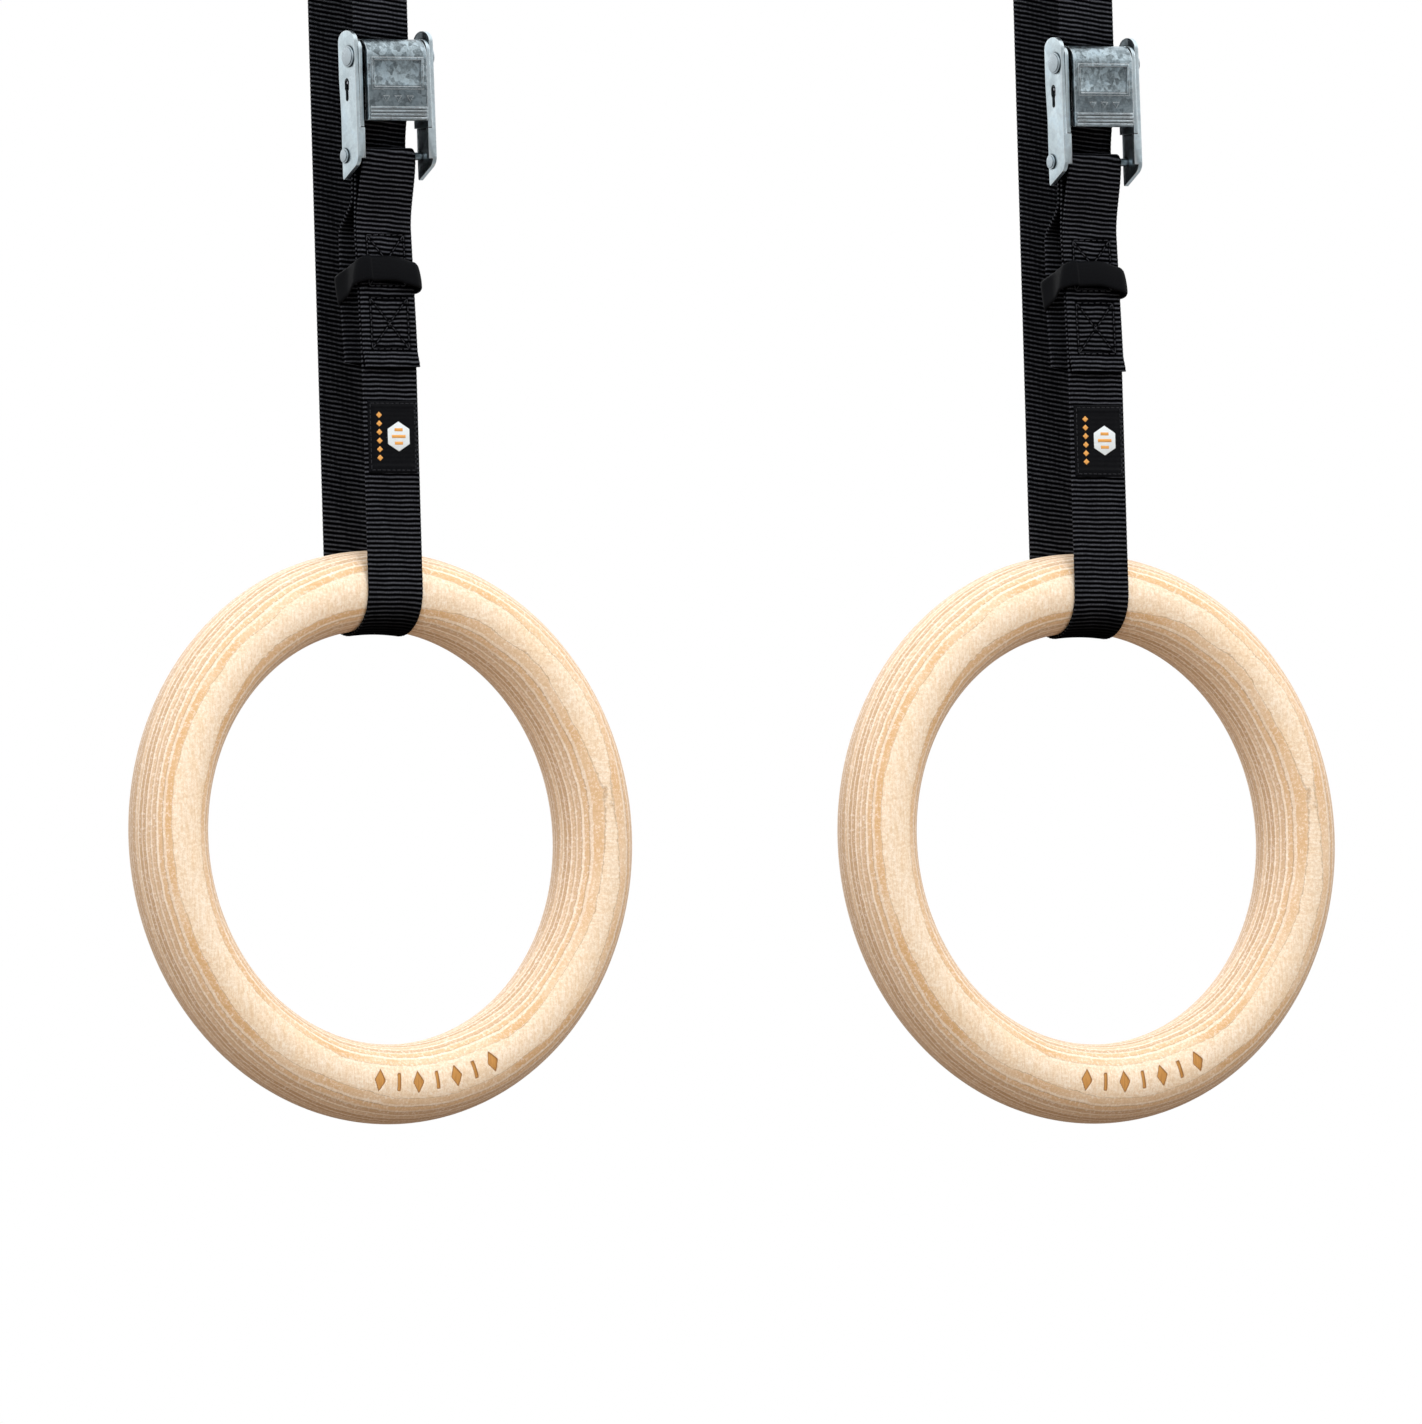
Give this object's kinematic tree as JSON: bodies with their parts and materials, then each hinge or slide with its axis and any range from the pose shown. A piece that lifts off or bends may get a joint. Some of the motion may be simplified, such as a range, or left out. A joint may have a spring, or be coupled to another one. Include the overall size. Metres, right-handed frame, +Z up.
{
  "type": "gymnastics rings",
  "caption": "Pair of wooden hand rings, each hung from a bar on ribbed webbing with a cam buckle, elastic keeper and cross-stitched fold.",
  "frame": {"origin": "on the axis of the bar the straps loop over, midway between the two straps", "axes": "+X along the bar, -Y towards the front where the buckles and labels face, +Z up"},
  "size_m": [0.562, 0.0482, 0.5427],
  "materials": {
    "webbing": "ribbed black polyester webbing, matt",
    "thread": "black bonded thread",
    "label_cloth": "black satin-woven cloth",
    "elastic": "smooth black elastic",
    "zinc": "zinc-plated steel, bluish, satin",
    "zinc_casting": "zinc-plated casting, slightly mottled",
    "pin_steel": "zinc-plated steel rod, peened ends",
    "spring_steel": "spring wire",
    "birch": "sanded birch plywood, unlacquered"
  },
  "bodies": {
    "left_hanger": {"left_bar_loop": "webbing"},
    "left_upper_strap": {"left_front_strap": "webbing", "left_rear_strap": "webbing"},
    "left_carrier": {"left_buckle_frame": "zinc", "left_buckle_cheeks": "zinc", "left_cam_pin": "pin_steel", "left_cam_spring": "spring_steel", "left_strap_pin": "pin_steel", "left_adjust_strap": "webbing", "left_tail_strap": "webbing", "left_sewn_strap": "webbing", "left_box_stitching": "thread", "left_label": "label_cloth", "left_label_stitching": "thread"},
    "left_keeper_loop": {"left_keeper": "elastic"},
    "left_lever": {"left_cam_lever": "zinc_casting"},
    "left_lower_strap": {"left_front_strap_lower": "webbing", "left_rear_strap_lower": "webbing"},
    "left_cradle": {"left_ring_saddle": "webbing"},
    "left_grip": {"left_ring": "birch"},
    "right_hanger": {"right_bar_loop": "webbing"},
    "right_upper_strap": {"right_front_strap": "webbing", "right_rear_strap": "webbing"},
    "right_carrier": {"right_buckle_frame": "zinc", "right_buckle_cheeks": "zinc", "right_cam_pin": "pin_steel", "right_cam_spring": "spring_steel", "right_strap_pin": "pin_steel", "right_adjust_strap": "webbing", "right_tail_strap": "webbing", "right_sewn_strap": "webbing", "right_box_stitching": "thread", "right_label": "label_cloth", "right_label_stitching": "thread"},
    "right_keeper_loop": {"right_keeper": "elastic"},
    "right_lever": {"right_cam_lever": "zinc_casting"},
    "right_lower_strap": {"right_front_strap_lower": "webbing", "right_rear_strap_lower": "webbing"},
    "right_cradle": {"right_ring_saddle": "webbing"},
    "right_grip": {"right_ring": "birch"}
  },
  "joints": [
    {"name": "left_swing", "type": "hinge", "parent": "left_hanger", "child": "left_upper_strap", "pos_m": [-0.166, 0, 0], "axis": [1, 0, 0], "range_deg": [-45, 45], "deforming": ["left_bar_loop"]},
    {"name": "left_height", "type": "slide", "parent": "left_upper_strap", "child": "left_carrier", "axis": [0, 0, 1], "range_m": [-0.02, 0.03], "deforming": ["left_rear_strap", "left_front_strap", "left_tail_strap"]},
    {"name": "left_keeper_slide", "type": "slide", "parent": "left_carrier", "child": "left_keeper_loop", "axis": [0, 0, 1], "range_m": [-0.025, 0.012]},
    {"name": "left_cam_lever", "type": "hinge", "parent": "left_carrier", "child": "left_lever", "pos_m": [-0.166, -0.0229, -0.0985], "axis": [1, 0, 0], "range_deg": [0, 18], "stiffness_Nm_per_rad": 0.12, "springref_deg": -20.05, "deforming": ["left_cam_spring"]},
    {"name": "left_turn", "type": "hinge", "parent": "left_carrier", "child": "left_lower_strap", "pos_m": [-0.166, 0, -0.28], "axis": [0, 0, 1], "range_deg": [-60, 60], "stiffness_Nm_per_rad": 0.05, "deforming": ["left_front_strap_lower", "left_rear_strap_lower"]},
    {"name": "left_tilt", "type": "hinge", "parent": "left_lower_strap", "child": "left_cradle", "pos_m": [-0.166, 0, -0.311], "axis": [1, 0, 0], "range_deg": [-40, 40], "deforming": ["left_ring_saddle"]},
    {"name": "left_ring_spin", "type": "hinge", "parent": "left_cradle", "child": "left_grip", "pos_m": [-0.166, 0, -0.41], "axis": [0, 1, 0], "continuous": true},
    {"name": "right_swing", "type": "hinge", "parent": "right_hanger", "child": "right_upper_strap", "pos_m": [0.166, 0, 0], "axis": [1, 0, 0], "range_deg": [-45, 45], "deforming": ["right_bar_loop"]},
    {"name": "right_height", "type": "slide", "parent": "right_upper_strap", "child": "right_carrier", "axis": [0, 0, 1], "range_m": [-0.02, 0.03], "deforming": ["right_rear_strap", "right_front_strap", "right_tail_strap"]},
    {"name": "right_keeper_slide", "type": "slide", "parent": "right_carrier", "child": "right_keeper_loop", "axis": [0, 0, 1], "range_m": [-0.025, 0.012]},
    {"name": "right_cam_lever", "type": "hinge", "parent": "right_carrier", "child": "right_lever", "pos_m": [0.166, -0.0229, -0.0985], "axis": [1, 0, 0], "range_deg": [0, 18], "stiffness_Nm_per_rad": 0.12, "springref_deg": -20.05, "deforming": ["right_cam_spring"]},
    {"name": "right_turn", "type": "hinge", "parent": "right_carrier", "child": "right_lower_strap", "pos_m": [0.166, 0, -0.28], "axis": [0, 0, 1], "range_deg": [-60, 60], "stiffness_Nm_per_rad": 0.05, "deforming": ["right_front_strap_lower", "right_rear_strap_lower"]},
    {"name": "right_tilt", "type": "hinge", "parent": "right_lower_strap", "child": "right_cradle", "pos_m": [0.166, 0, -0.311], "axis": [1, 0, 0], "range_deg": [-40, 40], "deforming": ["right_ring_saddle"]},
    {"name": "right_ring_spin", "type": "hinge", "parent": "right_cradle", "child": "right_grip", "pos_m": [0.166, 0, -0.41], "axis": [0, 1, 0], "continuous": true},
    {"name": "spacing", "type": "slide", "parent": "left_hanger", "child": "right_hanger", "axis": [1, 0, 0], "range_m": [-0.09, 0.268]}
  ]
}
